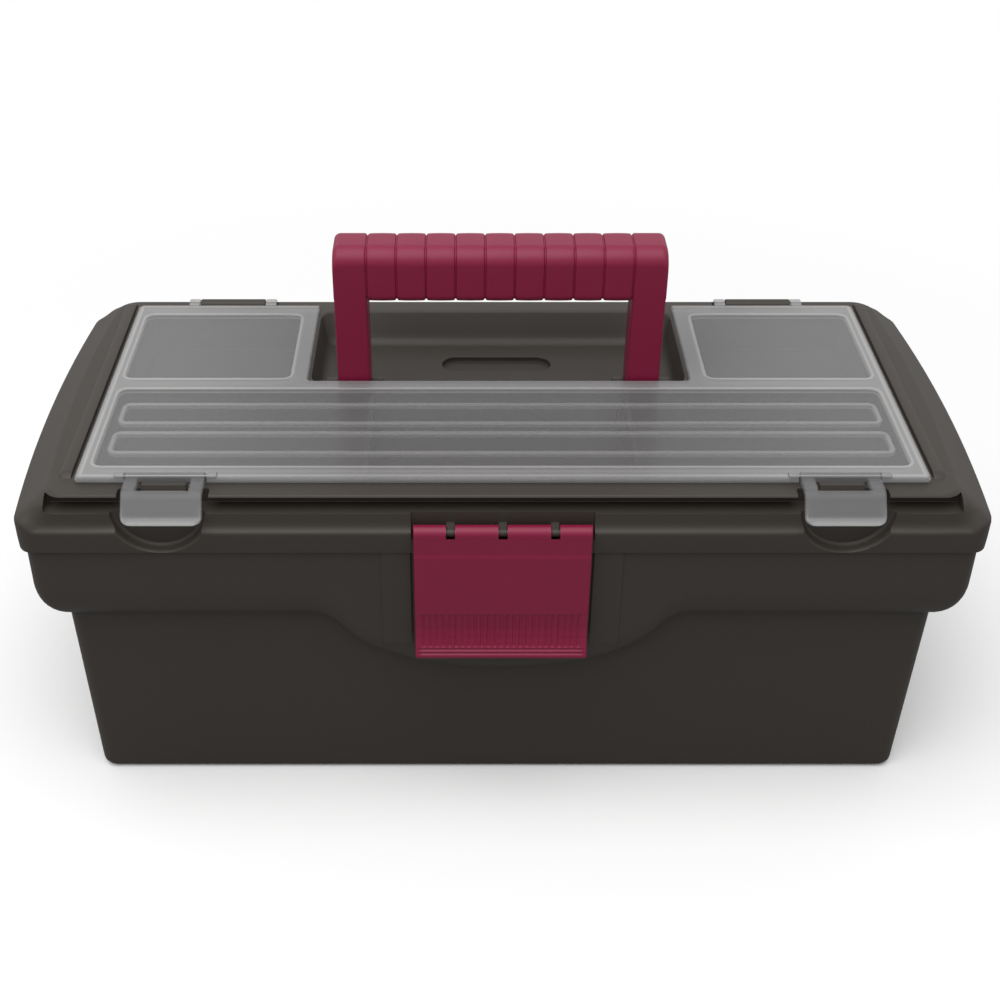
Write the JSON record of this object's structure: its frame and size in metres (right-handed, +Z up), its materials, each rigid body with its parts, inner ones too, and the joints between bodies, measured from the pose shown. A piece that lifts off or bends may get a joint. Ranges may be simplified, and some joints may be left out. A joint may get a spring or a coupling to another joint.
{
  "type": "toolbox with tray",
  "caption": "Moulded toolbox with a folding handle, centre latch, clear organiser cover with snap clips in the lid, and a lift-out divided tray.",
  "frame": {"origin": "on the floor under the middle of the box's outer size", "axes": "+X along the box to its right, +Y to the back where the lid's hinges are, +Z up"},
  "size_m": [0.33, 0.1595, 0.1829],
  "materials": {
    "charcoal_plastic": "moulded, satin",
    "raspberry_plastic": "moulded, satin",
    "frosted_clear_plastic": "moulded, frosted translucent",
    "tray_plastic": "moulded, satin",
    "pin_steel": "drawn wire"
  },
  "bodies": {
    "tub": {"tub": "charcoal_plastic", "lid_hinge_pin_left": "pin_steel", "lid_hinge_pin_right": "pin_steel"},
    "lid": {"lid": "charcoal_plastic", "latch_pin": "pin_steel", "handle_pin_left": "pin_steel", "handle_pin_right": "pin_steel", "cover_hinge_pin_left": "pin_steel", "cover_hinge_pin_right": "pin_steel", "organiser_divider_left": "charcoal_plastic", "organiser_divider_right": "charcoal_plastic"},
    "latch": {"latch": "raspberry_plastic"},
    "handle": {"handle": "raspberry_plastic"},
    "cover": {"organiser_cover": "frosted_clear_plastic", "clip_pin_left": "pin_steel", "clip_pin_right": "pin_steel"},
    "clip_left": {"clip_left": "frosted_clear_plastic"},
    "clip_right": {"clip_right": "frosted_clear_plastic"},
    "tray": {"tray": "tray_plastic", "tray_grip": "tray_plastic", "tray_divider_left": "tray_plastic", "tray_divider_right": "tray_plastic"}
  },
  "joints": [
    {"name": "lid_hinge", "type": "hinge", "parent": "tub", "child": "lid", "pos_m": [0, 0.07655, 0.10975], "axis": [-1, 0, 0], "range_deg": [0, 105]},
    {"name": "latch_hinge", "type": "hinge", "parent": "lid", "child": "latch", "pos_m": [0, -0.07475, 0.1186], "axis": [-1, 0, 0], "range_deg": [0, 100]},
    {"name": "cover_hinge", "type": "hinge", "parent": "lid", "child": "cover", "pos_m": [0, 0.06435, 0.1309], "axis": [-1, 0, 0], "range_deg": [0, 105]},
    {"name": "clip_left_hinge", "type": "hinge", "parent": "cover", "child": "clip_left", "pos_m": [-0.1115, -0.06175, 0.1322], "axis": [-1, 0, 0], "range_deg": [0, 100]},
    {"name": "clip_right_hinge", "type": "hinge", "parent": "cover", "child": "clip_right", "pos_m": [0.1115, -0.06175, 0.1322], "axis": [-1, 0, 0], "range_deg": [0, 100]},
    {"name": "handle_fold", "type": "hinge", "parent": "lid", "child": "handle", "pos_m": [0, 0.01005, 0.1245], "axis": [-1, 0, 0], "range_deg": [0, 66]},
    {"name": "tray_lift", "type": "slide", "parent": "tub", "child": "tray", "axis": [0, 0, 1], "range_m": [0, 0.033]}
  ],
  "couplings": [
    {"joint": "handle_fold", "follows": "cover_hinge", "ratio": 0.6},
    {"joint": "tray_lift", "follows": "lid_hinge", "m_per_rad": 0.018}
  ]
}
